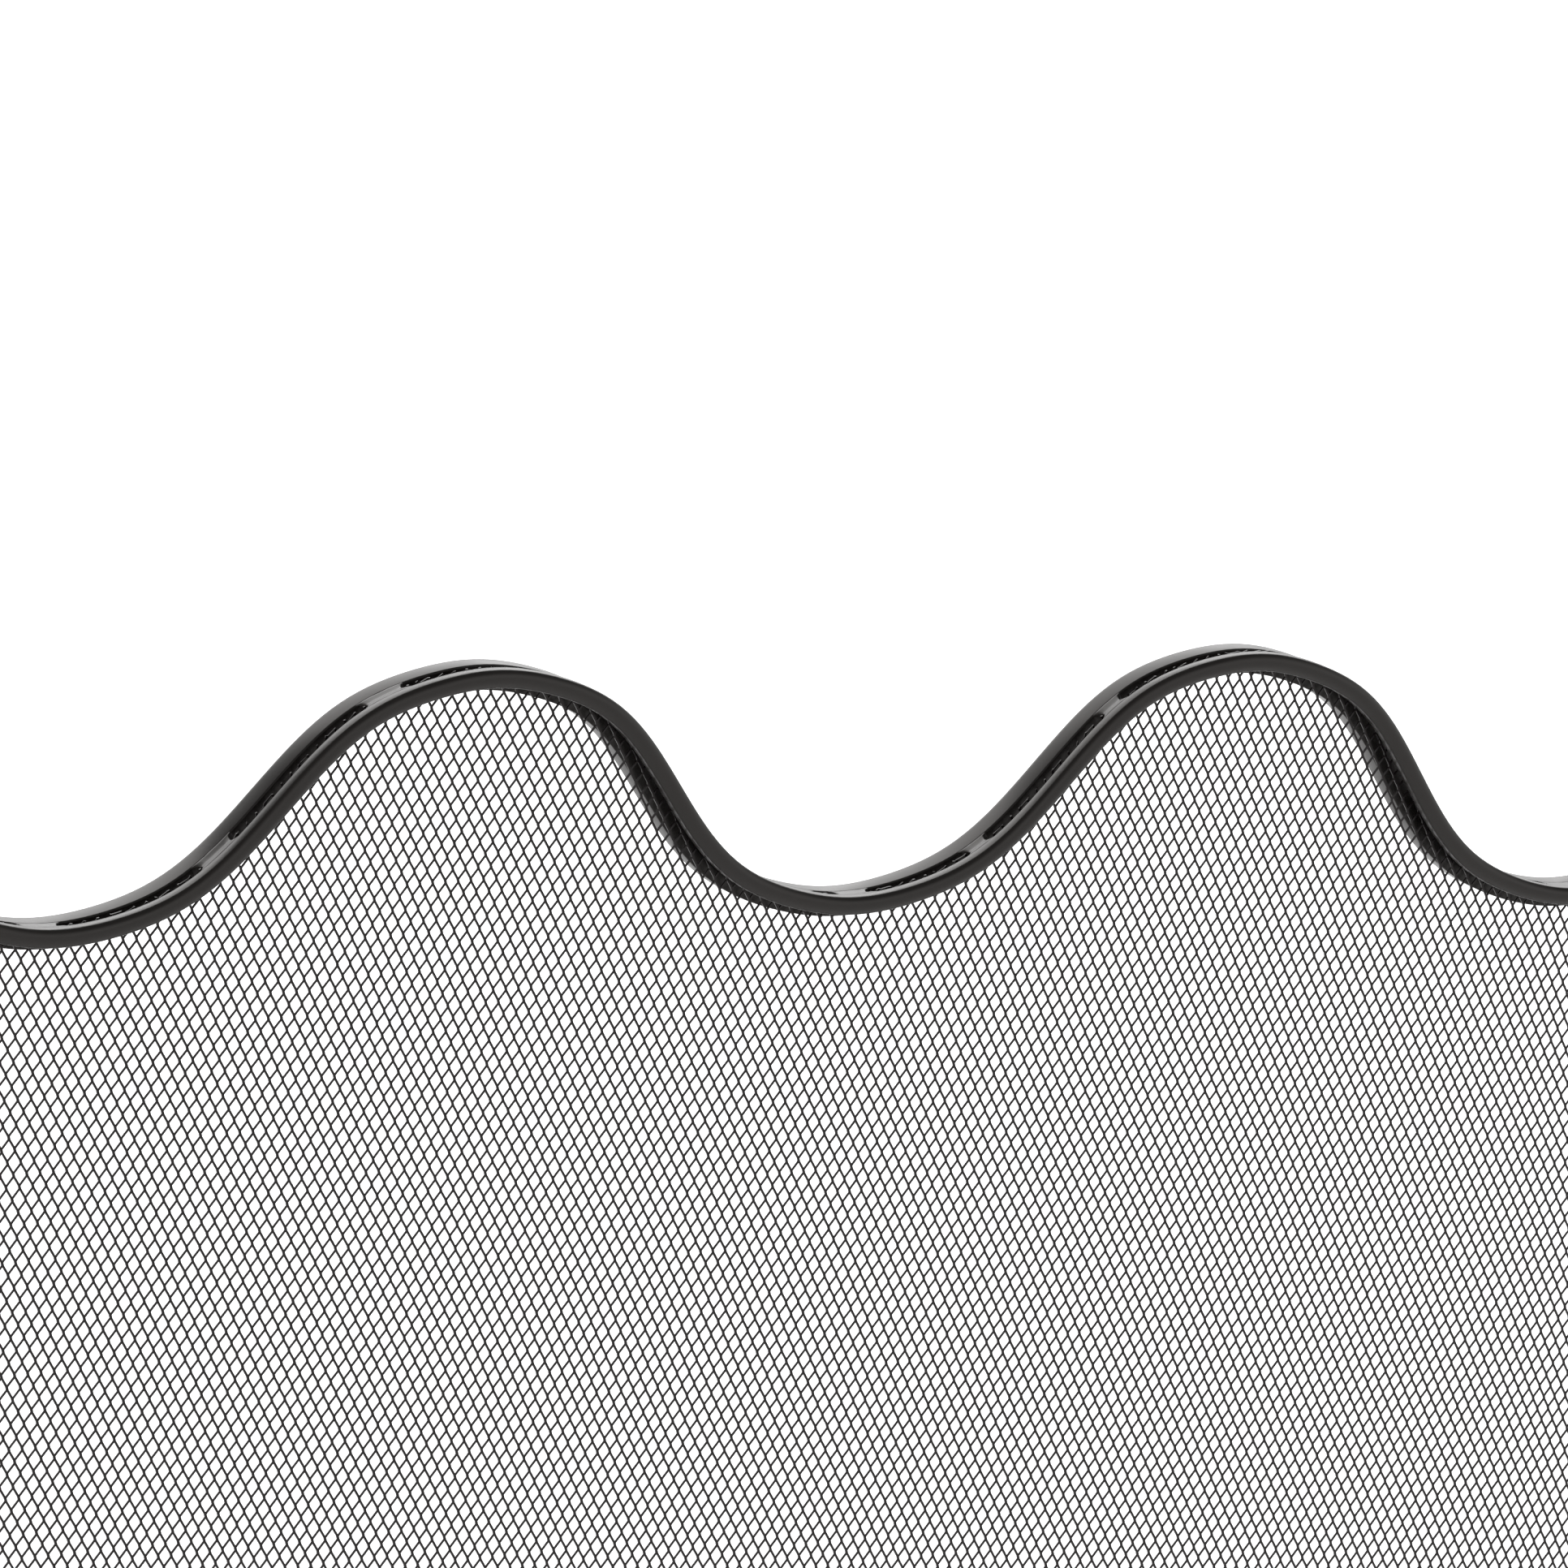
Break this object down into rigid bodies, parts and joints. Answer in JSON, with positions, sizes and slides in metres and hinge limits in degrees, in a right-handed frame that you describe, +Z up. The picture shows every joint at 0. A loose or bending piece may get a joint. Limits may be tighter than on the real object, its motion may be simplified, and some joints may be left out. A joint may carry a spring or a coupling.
{
  "type": "fireplace screen",
  "caption": "Free-standing flat fireplace screen with a wavy top edge, diamond steel mesh clamped in a double black frame, and two cross feet with rubber pads.",
  "frame": {"origin": "on the floor, under the middle of the panel's width, midway between the ends of the feet", "axes": "+X along the width, to the right seen from the front; the front faces -Y; +Z up"},
  "size_m": [1.0001, 0.26, 0.7893],
  "materials": {
    "black_frame": "satin black powder coat",
    "mesh_steel": "satin black powder coat on expanded steel mesh",
    "screw_steel": "black oxide",
    "pad_rubber": "matt"
  },
  "bodies": {
    "root": {"bottom_weld_1": "black_frame", "bottom_weld_2": "black_frame", "bottom_weld_3": "black_frame", "bottom_weld_4": "black_frame", "bottom_weld_5": "black_frame", "foot_left": "black_frame", "foot_pad_left_front": "pad_rubber", "foot_pad_left_rear": "pad_rubber", "foot_pad_right_front": "pad_rubber", "foot_pad_right_rear": "pad_rubber", "foot_right": "black_frame", "foot_screw_left_1": "screw_steel", "foot_screw_left_2": "screw_steel", "foot_screw_right_1": "screw_steel", "foot_screw_right_2": "screw_steel", "front_bottom_bar": "black_frame", "front_top_bar": "black_frame", "front_upright_left": "black_frame", "front_upright_right": "black_frame", "mesh_panel": "mesh_steel", "rear_bottom_bar": "black_frame", "rear_top_bar": "black_frame", "rear_upright_left": "black_frame", "rear_upright_right": "black_frame", "side_weld_left_1": "black_frame", "side_weld_left_2": "black_frame", "side_weld_left_3": "black_frame", "side_weld_right_1": "black_frame", "side_weld_right_2": "black_frame", "side_weld_right_3": "black_frame", "top_weld_01": "black_frame", "top_weld_02": "black_frame", "top_weld_03": "black_frame", "top_weld_04": "black_frame", "top_weld_05": "black_frame", "top_weld_06": "black_frame", "top_weld_07": "black_frame", "top_weld_08": "black_frame", "top_weld_09": "black_frame", "top_weld_10": "black_frame", "top_weld_11": "black_frame", "top_weld_12": "black_frame", "top_weld_13": "black_frame", "top_weld_14": "black_frame", "top_weld_15": "black_frame", "top_weld_16": "black_frame", "top_weld_17": "black_frame", "top_weld_18": "black_frame", "top_weld_19": "black_frame", "top_weld_20": "black_frame", "top_weld_21": "black_frame"}
  },
  "joints": []
}
